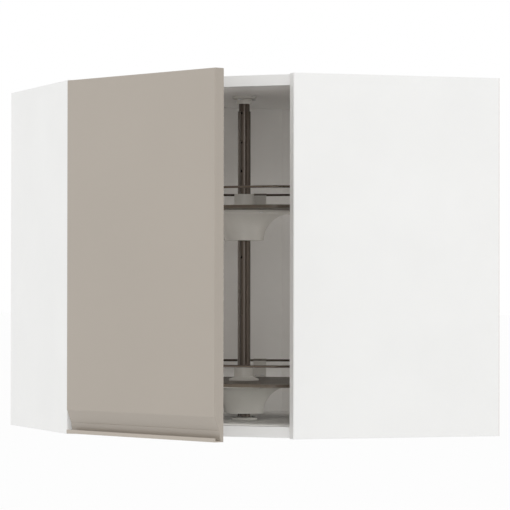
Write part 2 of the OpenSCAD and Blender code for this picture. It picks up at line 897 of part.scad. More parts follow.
module hub_outer_section() {
  arc_x = hub_r + hub_flank_r;
  difference() {
    square([arc_x, hub_h]);
    translate([arc_x, 0]) circle(r = hub_flank_r, $fn = 96);
  }
  translate([0, hub_h - hub_flange_t]) square([hub_flange_d / 2, hub_flange_t]);
}

module hub_inner_section() {
  arc_x = hub_r + hub_flank_r;
  translate([0, hub_wall]) difference() {
    square([arc_x - hub_wall, hub_h]);
    translate([arc_x, -hub_wall]) circle(r = hub_flank_r + hub_wall, $fn = 96);
  }
}

module hub_screw_set(pin_z) {
  color(steel) at_hub_screws(pin_z + pin_to_tray) screw(hub_flange_t + short_screw_l);
}

module collar(pin_z) {
  z = pin_z + pin_to_tray + tray_t;
  lip_z = bush_above_tray;
  color(light_grey) translate([0, 0, z]) difference() {
    union() {
      cylinder(d = collar_foot_d, h = collar_foot_t * 0.5);
      translate([0, 0, collar_foot_t * 0.5])
        cylinder(d1 = collar_foot_d, d2 = collar_d, h = collar_foot_t * 0.5);
      cylinder(d = collar_d, h = collar_h);
    }
    translate([0, 0, -eps]) cylinder(r = bush_r, h = lip_z + eps);
    translate([0, 0, lip_z - eps]) cylinder(r = bush_bore_r + bore_gap, h = collar_h);
  }
}

// A rail: one wire that follows the tray's edge, round the back and straight along the front
module rail(pin_z) {
  z = pin_z + pin_to_tray + tray_t + rail_rise;
  color(bronze) translate([0, 0, z]) {
    rotate(corner_bearing) wire_arc(rail_ring_r, rail_wire_r, 180 - 2 * corner_bearing);
    for (side = ["left", "right"])
      on_side(side) translate(corner_mid) rotate(-90 - bend_lap)
        wire_arc(rail_bend_r, rail_wire_r + rail_bend_extra / 2, 90 + corner_bearing + 2 * bend_lap);
    translate([-corner_mid.x, rail_edge - tray_front, 0])
      rotate([0, 90, 0]) cylinder(r = rail_wire_r, h = 2 * corner_mid.x, $fn = 24);
  }
}

module wire_arc(radius, wire_r, angle) {
  rotate_extrude(angle = angle, $fn = 180) translate([radius, 0]) circle(r = wire_r, $fn = 24);
}

// A bracket: a foot on the tray, an upright, and a clip that holds the wire from below and outside
module brackets(pin_z) {
  z = pin_z + pin_to_tray + tray_t;
  clip_r = rail_wire_r + clip_wall;
  color(light_grey) difference() {
    at_brackets() {
      translate([bracket_inner_r - bracket_foot, -bracket_w / 2, z])
        cube([bracket_foot + bracket_t, bracket_w, bracket_t]);
      translate([bracket_inner_r, -bracket_w / 2, z]) cube([bracket_t, bracket_w, rail_rise - clip_open]);
      difference() {
        translate([rail_ring_r, bracket_w / 2, z + rail_rise])
          rotate([90, 0, 0]) cylinder(r = clip_r, h = bracket_w);
        translate([rail_ring_r - 2 * clip_r, -bracket_w, z + rail_rise - clip_open])
          cube([2 * clip_r, 2 * bracket_w, 2 * clip_r]);
      }
    }
    translate([0, 0, z + rail_rise]) rotate_extrude($fn = 180)
      translate([rail_ring_r, 0]) circle(r = rail_wire_r, $fn = 24);
    at_bracket_screws(z - tray_t) screw_hole(bracket_t + eps);
  }
}

module bracket_screw_set(pin_z) {
  color(steel) at_bracket_screws(pin_z + pin_to_tray) screw(bracket_t + short_screw_l);
}

module upper_tray() {
  tray(upper_pin_z);
}

module upper_rail() {
  rail(upper_pin_z);
}

module upper_brackets() {
  brackets(upper_pin_z);
}

module upper_bracket_screws() {
  bracket_screw_set(upper_pin_z);
}

module upper_hub() {
  hub(upper_pin_z);
}

module upper_hub_screws() {
  hub_screw_set(upper_pin_z);
}

module upper_bush() {
  bush(upper_pin_z);
}

module upper_collar() {
  collar(upper_pin_z);
}

module lower_tray() {
  tray(lower_pin_z);
}

module lower_rail() {
  rail(lower_pin_z);
}

module lower_brackets() {
  brackets(lower_pin_z);
}

module lower_bracket_screws() {
  bracket_screw_set(lower_pin_z);
}

module lower_hub() {
  hub(lower_pin_z);
}

module lower_hub_screws() {
  hub_screw_set(lower_pin_z);
}

module lower_bush() {
  bush(lower_pin_z);
}

module lower_collar() {
  collar(lower_pin_z);
}

// ---- Door ----

// End view of the door: x is the depth behind the front face and y the height
module door_section() {
  polygon([
    [0, grip_h], [0, door_h], [door_t, door_h], [door_t, 0], [grip_d, 0], [grip_d, lip_t],
    [grip_d - grip_lean / 4, lip_h], [grip_d - grip_lean, grip_bend_h * 0.6], [grip_bend_d, grip_bend_h]
  ]);
}

// The finger grip's lip: a flat foot under the recess and an upstand in the front face
module grip_section() {
  square([grip_d, lip_t]);
  square([lip_t, lip_h]);
}

// Extrudes an end view along the door's width
module along_door() {
  translate([door_x, door_front_y, door_z])
    rotate([90, 0, 90]) linear_extrude(door_w) children();
}

module cup_pockets() {
  for (z = hinge_z)
    at_cup(z) translate([0, 0, -eps]) cylinder(d = cup_d, h = cup_depth + eps);
}

module door_panel() {
  color(greige) with_door() difference() {
    along_door() door_section();
    cup_pockets();
    at_cup_screws() screw_hole(screw_l);
  }
}

module grip_profile() {
  color(greige) with_door() along_door() grip_section();
}

module door_bumpers() {
  for (z = end_zs())
    color(light_grey) with_door()
      translate([door_x + door_w - bumper_from_edge, door_back_y + bumper_t, z])
        rotate([90, 0, 0]) cylinder(d = bumper_d, h = bumper_t);
}

// ---- Hinges ----

// A cup with a rim on the door, and two ears inside it that hold the door pivot's pin
module hinge_cup(z) {
  ear_z = arm_tip_h / 2 + arm_side_gap;
  color(steel) with_door() difference() {
    union() {
      at_cup(z) cylinder(d = cup_d, h = cup_depth);
      at_cup(z) translate([0, 0, -rim_t]) cylinder(d = cup_d + 2 * cup_rim_w, h = rim_t);
      at_cup(z) translate([cup_plate_x, -cup_plate_h / 2, -rim_t])
        cube([cup_plate_w, cup_plate_h, rim_t]);
    }
    difference() {
      at_cup(z) translate([0, 0, -rim_t - eps])
        cylinder(r = cup_bore_r, h = rim_t + eps + cup_depth - cup_wall);
      for (side = [-1, 1])
        translate([cup_pivot.x - cup_ear_w / 2, door_front_y, z + side * (ear_z + cup_d / 2) - cup_d / 2])
          cube([cup_ear_w, door_t, cup_d]);
    }
    translate([cup_pivot.x, cup_pivot.y, z - cup_pin_l / 2]) cylinder(d = cup_pin_d, h = cup_pin_l);
    at_cup_screws() screw_hole(rim_t + eps);
  }
}

module hinge_cup_upper() {
  hinge_cup(hinge_z[1]);
}

module hinge_cup_lower() {
  hinge_cup(hinge_z[0]);
}

module hinge_cup_pins() {
  color(steel) with_door() for (z = hinge_z)
    translate([cup_pivot.x, cup_pivot.y, z - cup_pin_l / 2]) cylinder(d = cup_pin_d, h = cup_pin_l);
}

module hinge_cup_screws() {
  color(steel) with_door() at_cup_screws() screw(screw_l);
}

// A straight stretch of arm from one point to another
module bar(from, to, thickness) {
  run = to - from;
  translate(from) rotate(atan2(run.y, run.x))
    translate([0, -thickness / 2]) square([norm(run), thickness]);
  for (bend = [from, to])
    translate(bend) circle(d = thickness + bend_extra, $fn = 24);
}

module hinge_arm(z) {
  color(steel) with_arm() translate([0, 0, z]) difference() {
    union() {
      linear_extrude(arm_h, center = true) {
        bar(arm_pivot, neck, arm_t);
        bar(neck, knee, arm_t);
        translate(arm_pivot) circle(r = base_eye_r);
      }
      linear_extrude(arm_tip_h, center = true) {
        bar(knee, cup_pivot, arm_tip_t);
        translate(cup_pivot) circle(r = tip_eye_r);
      }
    }
    translate([arm_pivot.x, arm_pivot.y, -arm_h])
      cylinder(d = base_pin_d + 2 * pin_clear, h = 2 * arm_h);
    translate([cup_pivot.x, cup_pivot.y, -arm_h])
      cylinder(d = cup_pin_d + 2 * pin_clear, h = 2 * arm_h);
  }
}

module hinge_arm_upper() {
  hinge_arm(hinge_z[1]);
}

module hinge_arm_lower() {
  hinge_arm(hinge_z[0]);
}

// A plate on the side panel with two ears that hold the arm pivot's pin
module hinge_base(z) {
  color(steel) difference() {
    at_base(z) {
      translate([-base_back, 0, -base_h / 2]) cube([base_back + base_front, base_t, base_h]);
      for (side = [-1, 1])
        translate([0, 0, side * (arm_h / 2 + arm_side_gap + ear_t / 2)])
          linear_extrude(ear_t, center = true) {
            translate([0, arm_off]) circle(r = base_eye_r);
            translate([-base_eye_r, 0]) square([2 * base_eye_r, arm_off]);
          }
    }
    at_base(z) translate([0, arm_off, -base_pin_l / 2]) cylinder(d = base_pin_d, h = base_pin_l);
    at_base_screws() screw_hole(base_t + eps);
  }
}

module hinge_base_upper() {
  hinge_base(hinge_z[1]);
}

module hinge_base_lower() {
  hinge_base(hinge_z[0]);
}

module hinge_base_pins() {
  color(steel) for (z = hinge_z)
    at_base(z) translate([0, arm_off, -base_pin_l / 2]) cylinder(d = base_pin_d, h = base_pin_l);
}

module hinge_base_screws() {
  color(steel) at_base_screws() screw(screw_l);
}

side_panel_left();
side_panel_right();
top_panel();
bottom_panel();
back_panel_left();
back_panel_right();
back_panel_corner();
dowels();
cam_bolts();
cam_locks();
hanger_left();
hanger_right();
hanger_screws();
top_flange();
bottom_flange();
flange_screws();
pole_outer();
pole_inner();
support_pin_upper();
support_pin_lower();
thrust_washer_upper();
thrust_washer_lower();
upper_tray();
upper_rail();
upper_brackets();
upper_bracket_screws();
upper_hub();
upper_hub_screws();
upper_bush();
upper_collar();
lower_tray();
lower_rail();
lower_brackets();
lower_bracket_screws();
lower_hub();
lower_hub_screws();
lower_bush();
lower_collar();
door_panel();
grip_profile();
door_bumpers();
hinge_cup_upper();
hinge_cup_lower();
hinge_cup_pins();
hinge_cup_screws();
hinge_arm_upper();
hinge_arm_lower();
hinge_base_upper();
hinge_base_lower();
hinge_base_pins();
hinge_base_screws();
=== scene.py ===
import json
import math

import bmesh
import bpy
from mathutils import Matrix, Vector


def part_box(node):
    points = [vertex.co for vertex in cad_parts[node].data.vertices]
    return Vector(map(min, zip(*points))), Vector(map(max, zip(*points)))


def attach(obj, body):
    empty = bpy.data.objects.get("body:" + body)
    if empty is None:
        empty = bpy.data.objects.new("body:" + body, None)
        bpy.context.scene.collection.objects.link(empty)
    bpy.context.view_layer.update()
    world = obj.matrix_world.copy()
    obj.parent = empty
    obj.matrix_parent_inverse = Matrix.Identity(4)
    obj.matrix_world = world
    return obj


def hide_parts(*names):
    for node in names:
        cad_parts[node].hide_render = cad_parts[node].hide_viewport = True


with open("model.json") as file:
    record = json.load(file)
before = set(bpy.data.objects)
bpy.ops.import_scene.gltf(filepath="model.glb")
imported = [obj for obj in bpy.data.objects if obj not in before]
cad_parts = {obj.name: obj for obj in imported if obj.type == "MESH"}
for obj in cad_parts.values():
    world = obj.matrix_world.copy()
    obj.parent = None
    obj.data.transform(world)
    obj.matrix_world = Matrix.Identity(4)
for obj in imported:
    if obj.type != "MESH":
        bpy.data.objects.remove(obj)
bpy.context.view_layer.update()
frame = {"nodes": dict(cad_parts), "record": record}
nodes = frame["nodes"]
bodyOf = {node: body for body, members in frame["record"]["behaviour"]["bodies"].items() for node in members}
slotOf = {part["node"]: part["material_slot"] for part in frame["record"]["subparts"]}
scene = bpy.context.scene
white = (1, 1, 1)


# camera: stands where the photograph was taken from
cameraLook = {
    "place": (2.28135, -4.76810, 0.24136),
    "turn": 0.44268,
    "tilt": 0.01183,
    "roll": 0.00127,
    "lens": 214.44,
    "sensor": 36.0,
    "farthest": 200,
}

camera = bpy.data.objects.new("camera", bpy.data.cameras.new("camera"))
camera.data.sensor_width = cameraLook["sensor"]
camera.data.lens = cameraLook["lens"]
camera.data.clip_end = cameraLook["farthest"]
camera.location = cameraLook["place"]
aim = Matrix.Rotation(cameraLook["turn"], 4, "Z") @ Matrix.Rotation(math.pi / 2 + cameraLook["tilt"], 4, "X")
camera.rotation_euler = (aim @ Matrix.Rotation(cameraLook["roll"], 4, "Z")).to_euler()
scene.collection.objects.link(camera)
scene.camera = camera
scene.view_settings.view_transform = "Standard"
print("camera set")


# short forms for building node trees

def startMaterial(name):
    material = bpy.data.materials.new(name)
    material.use_nodes = True
    tree = material.node_tree
    shader = tree.nodes["Principled BSDF"]
    coords = tree.nodes.new("ShaderNodeTexCoord").outputs["Object"]
    return material, tree, shader, coords


def feed(tree, socket, value):
    # links an output to the socket, or sets a plain value on it
    if isinstance(value, bpy.types.NodeSocket):
        tree.links.new(value, socket)
    else:
        socket.default_value = value


def noise(tree, coords, scale, detail, roughness=0.5, stretch=None):
    if stretch:
        mapping = tree.nodes.new("ShaderNodeMapping")
        mapping.inputs["Scale"].default_value = stretch
        tree.links.new(coords, mapping.inputs["Vector"])
        coords = mapping.outputs["Vector"]
    texture = tree.nodes.new("ShaderNodeTexNoise")
    texture.inputs["Scale"].default_value = scale
    texture.inputs["Detail"].default_value = detail
    texture.inputs["Roughness"].default_value = roughness
    tree.links.new(coords, texture.inputs["Vector"])
    return texture.outputs["Fac"]


def calculate(tree, operation, first, second=0.0):
    node = tree.nodes.new("ShaderNodeMath")
    node.operation = operation
    feed(tree, node.inputs[0], first)
    feed(tree, node.inputs[1], second)
    return node.outputs["Value"]


# a noise texture keeps mostly between these two values
usualLow, usualHigh = 0.3, 0.7

def spread(tree, value, low, high):
    # turns a texture's usual values into the range low to high
    span = tree.nodes.new("ShaderNodeMapRange")
    span.inputs["From Min"].default_value = usualLow
    span.inputs["From Max"].default_value = usualHigh
    span.inputs["To Min"].default_value = low
    span.inputs["To Max"].default_value = high
    tree.links.new(value, span.inputs["Value"])
    return span.outputs["Result"]


def twoColours(tree, value, dark, light, fromLow=usualLow, fromHigh=usualHigh):
    ramp = tree.nodes.new("ShaderNodeValToRGB")
    ramp.color_ramp.elements[0].position = fromLow
    ramp.color_ramp.elements[1].position = fromHigh
    ramp.color_ramp.elements[0].color = (*dark, 1)
    ramp.color_ramp.elements[1].color = (*light, 1)
    tree.links.new(value, ramp.inputs["Fac"])
    return ramp.outputs["Color"]


def tint(colour, factor):
    return tuple(min(1.0, channel * factor) for channel in colour)


def shaded(tree, value, colour, shades):
    # one colour that drifts between two shades of itself
    return twoColours(tree, value, tint(colour, shades[0]), tint(colour, shades[1]))


def mixColour(tree, share, first, second):
    mix = tree.nodes.new("ShaderNodeMix")
    mix.data_type = "RGBA"
    tree.links.new(share, mix.inputs["Factor"])
    tree.links.new(first, mix.inputs["A"])
    feed(tree, mix.inputs["B"], second if isinstance(second, bpy.types.NodeSocket) else (*second, 1))
    return mix.outputs["Result"]


def bump(tree, shader, height, depth, strength):
    node = tree.nodes.new("ShaderNodeBump")
    node.inputs["Strength"].default_value = strength
    node.inputs["Distance"].default_value = depth
    tree.links.new(height, node.inputs["Height"])
    tree.links.new(node.outputs["Normal"], shader.inputs["Normal"])


def paint(tree, shader, colour, rough):
    tree.links.new(colour, shader.inputs["Base Color"])
    feed(tree, shader.inputs["Roughness"], rough)


def clearCoat(shader, weight, rough):
    shader.inputs["Coat Weight"].default_value = weight
    shader.inputs["Coat Roughness"].default_value = rough


def splitCoords(tree, coords):
    parts = tree.nodes.new("ShaderNodeSeparateXYZ")
    tree.links.new(coords, parts.inputs["Vector"])
    return parts.outputs


def along(tree, coords, direction):
    # how far a point is from the origin in one direction
    dot = tree.nodes.new("ShaderNodeVectorMath")
    dot.operation = "DOT_PRODUCT"
    dot.inputs[1].default_value = direction
    tree.links.new(coords, dot.inputs[0])
    return dot.outputs["Value"]


# the cabinet's plan, in metres: the walls meet at (0, cornerY)
planLook = {
    "cornerY": 0.4779332,
    "cutY": 0.3650,           # the boards' cut-off rear corner lies beyond this
    "rawEdge": 0.0007,        # and their rear edges, left unbanded, within this of a wall
    "backMid": 0.0159,        # middle of the side backs, measured from the wall
    "backMidY": 0.3613,       # and of the corner back
    "sideDepth": 0.368,
    "bandThickness": 0.001,
    "seam": 0.00025,
}

def wallDistance(tree, spot):
    # how far a point is from the nearer of the two walls
    sideways = calculate(tree, "ABSOLUTE", spot["X"])
    forward = calculate(tree, "SUBTRACT", planLook["cornerY"], spot["Y"])
    return calculate(tree, "MULTIPLY", calculate(tree, "SUBTRACT", forward, sideways), math.sqrt(0.5))


# in the dictionaries of finishes a texture is its scale, detail and, if it isn't 0.5, roughness,
# "rough" is the range of the surface's roughness, and "bump" is depth in metres and strength

boardLook = {
    "colour": (0.862, 0.862, 0.850),
    "shades": (0.985, 1.01),
    "cloud": (9, 3),
    "pearl": (1400, 2),
    "pearlHeight": 0.1,
    "rough": (0.34, 0.44),
    "raw": (0.46, 0.32, 0.19),
    "rawDark": (0.25, 0.16, 0.09),
    "chips": (420, 4, 0.7),
    "chipRange": (0.38, 0.6),
    "rawRough": 0.4,          # added on the bare edges
    "seamColour": (0.35, 0.34, 0.32),
    "seamShare": 0.25,
    "bump": (0.0003, 0.35),
}

def whiteFoil(tree, coords):
    return shaded(tree, noise(tree, coords, *boardLook["cloud"]), boardLook["colour"], boardLook["shades"])


def makeBoard(name, seamed):
    # white on both faces, bare chipboard on the rear edges
    material, tree, shader, coords = startMaterial(name)
    foil = whiteFoil(tree, coords)
    pearl = noise(tree, coords, *boardLook["pearl"])
    spot = splitCoords(tree, coords)
    distance = wallDistance(tree, spot)
    rear = calculate(tree, "LESS_THAN", distance, planLook["rawEdge"])
    if seamed:
        # hairline where the front edge band meets the face
        fromFront = calculate(tree, "SUBTRACT", planLook["sideDepth"] - planLook["bandThickness"], distance)
        line = calculate(tree, "LESS_THAN", calculate(tree, "ABSOLUTE", fromFront), planLook["seam"])
        faint = calculate(tree, "MULTIPLY", line, boardLook["seamShare"])
        foil = mixColour(tree, faint, foil, boardLook["seamColour"])
    else:
        rear = calculate(tree, "MAXIMUM", rear, calculate(tree, "GREATER_THAN", spot["Y"], planLook["cutY"]))
    chips = noise(tree, coords, *boardLook["chips"])
    raw = twoColours(tree, chips, boardLook["rawDark"], boardLook["raw"], *boardLook["chipRange"])
    rawRough = calculate(tree, "MULTIPLY", rear, boardLook["rawRough"])
    rough = calculate(tree, "ADD", spread(tree, pearl, *boardLook["rough"]), rawRough)
    paint(tree, shader, mixColour(tree, rear, foil, raw), rough)
    foilHeight = calculate(tree, "MULTIPLY", pearl, boardLook["pearlHeight"])
    height = calculate(tree, "ADD", foilHeight, calculate(tree, "MULTIPLY", chips, rear))
    bump(tree, shader, height, *boardLook["bump"])
    return material


backLook = {
    "hardboard": (0.23, 0.13, 0.065),
    "hardboardDark": (0.16, 0.085, 0.04),
    "fibre": (60, 6, 0.7),
    "weave": (900, 2),
    "rough": (0.36, 0.46),
    "rearRough": 0.3,         # added on the bare side
    "bump": (0.00008, 0.4),
}

def makeBack():
    # painted white inside, bare hardboard towards the wall
    material, tree, shader, coords = startMaterial("backPanel")
    foil = whiteFoil(tree, coords)
    fibre = noise(tree, coords, *backLook["fibre"])
    brown = twoColours(tree, fibre, backLook["hardboardDark"], backLook["hardboard"])
    weave = noise(tree, coords, *backLook["weave"])
    spot = splitCoords(tree, coords)
    behind = calculate(tree, "LESS_THAN", wallDistance(tree, spot), planLook["backMid"])
    beyond = calculate(tree, "GREATER_THAN", spot["Y"], planLook["backMidY"])
    rear = calculate(tree, "MAXIMUM", behind, beyond)
    rearRough = calculate(tree, "MULTIPLY", rear, backLook["rearRough"])
    rough = calculate(tree, "ADD", spread(tree, weave, *backLook["rough"]), rearRough)
    paint(tree, shader, mixColour(tree, rear, foil, brown), rough)
    bump(tree, shader, weave, *backLook["bump"])
    return material


lacquerLook = {
    "colour": (0.409, 0.364, 0.312),
    "shades": (0.985, 1.015),
    "drift": (4, 2),
    "peel": (330, 2),
    "speck": (2600, 1),
    "rough": (0.30, 0.38),
    "coat": (0.12, 0.18),     # weight and roughness
    "bump": (0.00004, 0.25),
    "grip": 1.18,             # painted light: the grip strip's lacquer is lightened against the door's
    "recess": 0.96,           # painted shade: the finger recess is darkened
    "edge": 0.915,            # painted shade: the door's upright edges are darkened too
}

# the door at rest, measured along it and through it from the pole, in metres
doorSpan = {
    "along": (0.90778, -0.41945, 0),
    "through": (0.41945, 0.90778, 0),
    "up": (0, 0, 1),
    "hingeSide": -0.07868,
    "freeSide": 0.31830,
    "band": 0.0011,
    "recessBack": -0.3070,
    "recessTop": 0.0403,
}

# where the door's upright edges get painted shade
def doorEdgeShadeMask(tree, coords):
    place = along(tree, coords, doorSpan["along"])
    free = calculate(tree, "GREATER_THAN", place, doorSpan["freeSide"] - doorSpan["band"])
    hinge = calculate(tree, "LESS_THAN", place, doorSpan["hingeSide"] + doorSpan["band"])
    return calculate(tree, "MAXIMUM", free, hinge)


# where the finger recess gets painted shade
def doorRecessShadeMask(tree, coords):
    inFront = calculate(tree, "LESS_THAN", along(tree, coords, doorSpan["through"]), doorSpan["recessBack"])
    below = calculate(tree, "LESS_THAN", along(tree, coords, doorSpan["up"]), doorSpan["recessTop"])
    return calculate(tree, "MULTIPLY", inFront, below)


def makeLacquer(name, lightness):
    material, tree, shader, coords = startMaterial(name)
    base = tint(lacquerLook["colour"], lightness)
    colour = shaded(tree, noise(tree, coords, *lacquerLook["drift"]), base, lacquerLook["shades"])
    # painted shade darkens the finger recess
    colour = mixColour(tree, doorRecessShadeMask(tree, coords), colour, tint(base, lacquerLook["recess"]))
    # painted shade on the door's upright edges
    colour = mixColour(tree, doorEdgeShadeMask(tree, coords), colour, tint(base, lacquerLook["edge"]))
    speck = noise(tree, coords, *lacquerLook["speck"])
    paint(tree, shader, colour, spread(tree, speck, *lacquerLook["rough"]))
    clearCoat(shader, *lacquerLook["coat"])
    bump(tree, shader, noise(tree, coords, *lacquerLook["peel"]), *lacquerLook["bump"])
    return material


bronzeLook = {
    "colour": (0.074, 0.056, 0.042),
    "shades": (0.8, 1.3),
    "fleck": (1900, 2),
    "run": (60, 2),
    "runStretch": (1, 1, 0.1),
    "metal": 0.35,
    "rough": (0.26, 0.36),
    "coat": (0.3, 0.2),
    "bump": (0.00002, 0.3),
}
poleLook = {
    "bare": (0.20, 0.18, 0.16),
    "band": (-0.0031, 0.0012),     # the lighter band's middle and half its width
    "seam": (-0.0012, 0.0006),     # and the tube seam's
    "seamShade": 0.3,
    "seamDepth": 6.0,
    "bump": (0.00004, 0.4),
}

def makeBronze(name, banded):
    material, tree, shader, coords = startMaterial(name)
    fleck = noise(tree, coords, *bronzeLook["fleck"])
    run = noise(tree, coords, *bronzeLook["run"], stretch=bronzeLook["runStretch"])
    colour = shaded(tree, fleck, bronzeLook["colour"], bronzeLook["shades"])
    if banded:
        # a lighter band and the tube's seam run down the front, beside the adjusting holes
        spot = splitCoords(tree, coords)
        front = calculate(tree, "LESS_THAN", spot["Y"], 0.0)

        def stripe(middle, half):
            off = calculate(tree, "ABSOLUTE", calculate(tree, "SUBTRACT", spot["X"], middle))
            return calculate(tree, "MULTIPLY", calculate(tree, "LESS_THAN", off, half), front)

        seam = stripe(*poleLook["seam"])
        colour = mixColour(tree, stripe(*poleLook["band"]), colour, poleLook["bare"])
        colour = mixColour(tree, seam, colour, tint(bronzeLook["colour"], poleLook["seamShade"]))
        sunk = calculate(tree, "MULTIPLY", seam, poleLook["seamDepth"])
        bump(tree, shader, calculate(tree, "SUBTRACT", fleck, sunk), *poleLook["bump"])
    else:
        bump(tree, shader, fleck, *bronzeLook["bump"])
    paint(tree, shader, colour, spread(tree, run, *bronzeLook["rough"]))
    shader.inputs["Metallic"].default_value = bronzeLook["metal"]
    clearCoat(shader, *bronzeLook["coat"])
    return material


trayLook = {
    "colour": (0.064, 0.050, 0.036),
    "shades": (0.88, 1.12),
    "grain": (900, 3),
    "fibre": (40, 4),
    "fibreStretch": (1, 9, 1),
    "rough": (0.38, 0.50),
    "bump": (0.00006, 0.4),
}

def makeTray():
    material, tree, shader, coords = startMaterial("brownTray")
    grain = noise(tree, coords, *trayLook["grain"])
    fibre = noise(tree, coords, *trayLook["fibre"], stretch=trayLook["fibreStretch"])
    colour = shaded(tree, fibre, trayLook["colour"], trayLook["shades"])
    paint(tree, shader, colour, spread(tree, grain, *trayLook["rough"]))
    bump(tree, shader, grain, *trayLook["bump"])
    return material


plasticLook = {
    "colour": (0.615, 0.607, 0.575),
    "shades": (0.96, 1.03),
    "grain": (1100, 2),
    "flow": (25, 2),
    "rough": (0.42, 0.54),
    "bump": (0.00005, 0.4),
}

def makePlastic():
    material, tree, shader, coords = startMaterial("greyPlastic")
    grain = noise(tree, coords, *plasticLook["grain"])
    colour = shaded(tree, noise(tree, coords, *plasticLook["flow"]), plasticLook["colour"], plasticLook["shades"])
    paint(tree, shader, colour, spread(tree, grain, *plasticLook["rough"]))
    bump(tree, shader, grain, *plasticLook["bump"])
    return material


steelLook = {
    "colour": (0.60, 0.61, 0.62),
    "shades": (0.88, 1.08),
    "spangle": (420, 3),
    "rough": (0.24, 0.36),
    "bump": (0.00003, 0.3),
}

def makeSteel():
    material, tree, shader, coords = startMaterial("zincSteel")
    spangle = noise(tree, coords, *steelLook["spangle"])
    colour = shaded(tree, spangle, steelLook["colour"], steelLook["shades"])
    paint(tree, shader, colour, spread(tree, spangle, *steelLook["rough"]))
    shader.inputs["Metallic"].default_value = 1.0
    bump(tree, shader, spangle, *steelLook["bump"])
    return material


birchLook = {
    "light": (0.66, 0.48, 0.30),
    "dark": (0.50, 0.34, 0.19),
    "grain": (300, 4),
    "grainStretch": (1, 1, 0.2),
    "rough": 0.7,
    "bump": (0.0001, 0.5),
}

def makeBirch():
    material, tree, shader, coords = startMaterial("rawBirch")
    grain = noise(tree, coords, *birchLook["grain"], stretch=birchLook["grainStretch"])
    paint(tree, shader, twoColours(tree, grain, birchLook["dark"], birchLook["light"]), birchLook["rough"])
    bump(tree, shader, grain, *birchLook["bump"])
    return material


bumperLook = {
    "colour": (0.62, 0.62, 0.60),
    "shades": (0.94, 1.05),
    "haze": (800, 2),
    "rough": (0.2, 0.3),
    "depth": 0.3,
    "depthRadius": (0.002, 0.002, 0.002),
}

def makeBumper():
    material, tree, shader, coords = startMaterial("softBumper")
    haze = noise(tree, coords, *bumperLook["haze"])
    colour = shaded(tree, haze, bumperLook["colour"], bumperLook["shades"])
    paint(tree, shader, colour, spread(tree, haze, *bumperLook["rough"]))
    shader.inputs["Subsurface Weight"].default_value = bumperLook["depth"]
    shader.inputs["Subsurface Radius"].default_value = bumperLook["depthRadius"]
    return material


slotMaterials = {
    "white_board": makeBoard("whiteMelamine", seamed=False),
    "door_foil": makeLacquer("beigeLacquer", 1.0),
    "bronze_steel": makeBronze("bronzeCoat", banded=False),
    "tray_board": makeTray(),
    "grey_plastic": makePlastic(),
    "zinc_steel": makeSteel(),
    "birch": makeBirch(),
    "bumper": makeBumper(),
}
sideBoard = makeBoard("whiteMelamineSide", seamed=True)
hardboard = makeBack()

# nodes whose finish differs from the rest of their slot
ownMaterial = {
    "side_panel_left": sideBoard,
    "side_panel_right": sideBoard,
    "back_panel_left": hardboard,
    "back_panel_right": hardboard,
    "back_panel_corner": hardboard,
    "pole_outer": makeBronze("bronzePole", banded=True),
    # the grip strip's lighter lacquer is painted light
    "grip_profile": makeLacquer("gripLacquerPaintedLight", lacquerLook["grip"]),
}

def materialOf(node):
    return ownMaterial.get(node, slotMaterials[slotOf[node]])


for name, thing in nodes.items():
    thing.data.materials.clear()
    thing.data.materials.append(materialOf(name))
print("materials given to", len(nodes), "nodes")


# pieces: copies of the CAD pieces with their edges eased
copyLook = {
    "weld": 0.000001,              # points closer than this are one point
    "flat": math.radians(0.5),     # faces that meet flatter than this are one face
    "sharp": math.radians(35),     # edges sharper than this are eased, and stay crisp where they aren't
}

def placeCopy(name, mesh, node):
    mesh.polygons.foreach_set("use_smooth", [True] * len(mesh.polygons))
    mesh.set_sharp_from_angle(angle=copyLook["sharp"])
    mesh.materials.append(materialOf(node))
    piece = bpy.data.objects.new(name, mesh)
    scene.collection.objects.link(piece)
    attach(piece, bodyOf[node])
    return piece


def camelCase(node):
    words = node.split("_")
    return words[0] + "".join(word.title() for word in words[1:])


def eased(node, look, pick=None):
    bm = bmesh.new()
    bm.from_mesh(nodes[node].data)
    bmesh.ops.remove_doubles(bm, verts=bm.verts, dist=copyLook["weld"])
    bmesh.ops.dissolve_limit(bm, angle_limit=copyLook["flat"], verts=bm.verts, edges=bm.edges)
    sharp = look.get("angle", copyLook["sharp"])
    edges = [edge for edge in bm.edges if len(edge.link_faces) == 2
             and edge.calc_face_angle() > sharp and edge.calc_length() > look["shortest"]
             and (pick is None or pick(edge))]
    bmesh.ops.bevel(bm, geom=edges, affect="EDGES", offset=look["round"], segments=look["steps"],
                    profile=0.5, material=-1, clamp_overlap=True)
    bmesh.ops.recalc_face_normals(bm, faces=bm.faces)
    mesh = bpy.data.meshes.new(node)
    bm.to_mesh(mesh)
    bm.free()
    piece = placeCopy(camelCase(node), mesh, node)
    even = piece.modifiers.new("even", "WEIGHTED_NORMAL")
    even.keep_sharp = True
    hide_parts(node)


# what eased() may pick: given as a function of one edge

def isLevel(edge):
    return abs(edge.verts[0].co.z - edge.verts[1].co.z) < copyLook["weld"]


def levelBeyond(radius):
    def pick(edge):
        middle = (edge.verts[0].co + edge.verts[1].co) / 2
        return isLevel(edge) and middle.xy.length > radius
    return pick


def levelAtEnds(node, reach):
    ends = [corner[2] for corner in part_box(node)]

    def pick(edge):
        return isLevel(edge) and any(abs(edge.verts[0].co.z - end) < reach for end in ends)
    return pick


def noEdge(edge):
    return False


boardEase = {"round": 0.0007, "steps": 3, "shortest": 0.030}
for node in ("side_panel_left", "side_panel_right", "top_panel", "bottom_panel"):
    eased(node, boardEase)
print("boards eased")

# the door's finger recess meets its front at a few degrees only
doorEase = {"round": 0.0012, "steps": 4, "shortest": 0.0135, "angle": math.radians(6)}
gripEase = {"round": 0.0004, "steps": 3, "shortest": 0.030}
eased("door_panel", doorEase)
eased("grip_profile", gripEase)
print("door eased")

trayEase = {"round": 0.0016, "steps": 4, "shortest": 0.0, "beyond": 0.15}
for node in ("upper_tray", "lower_tray"):
    eased(node, trayEase, levelBeyond(trayEase["beyond"]))
print("trays eased")

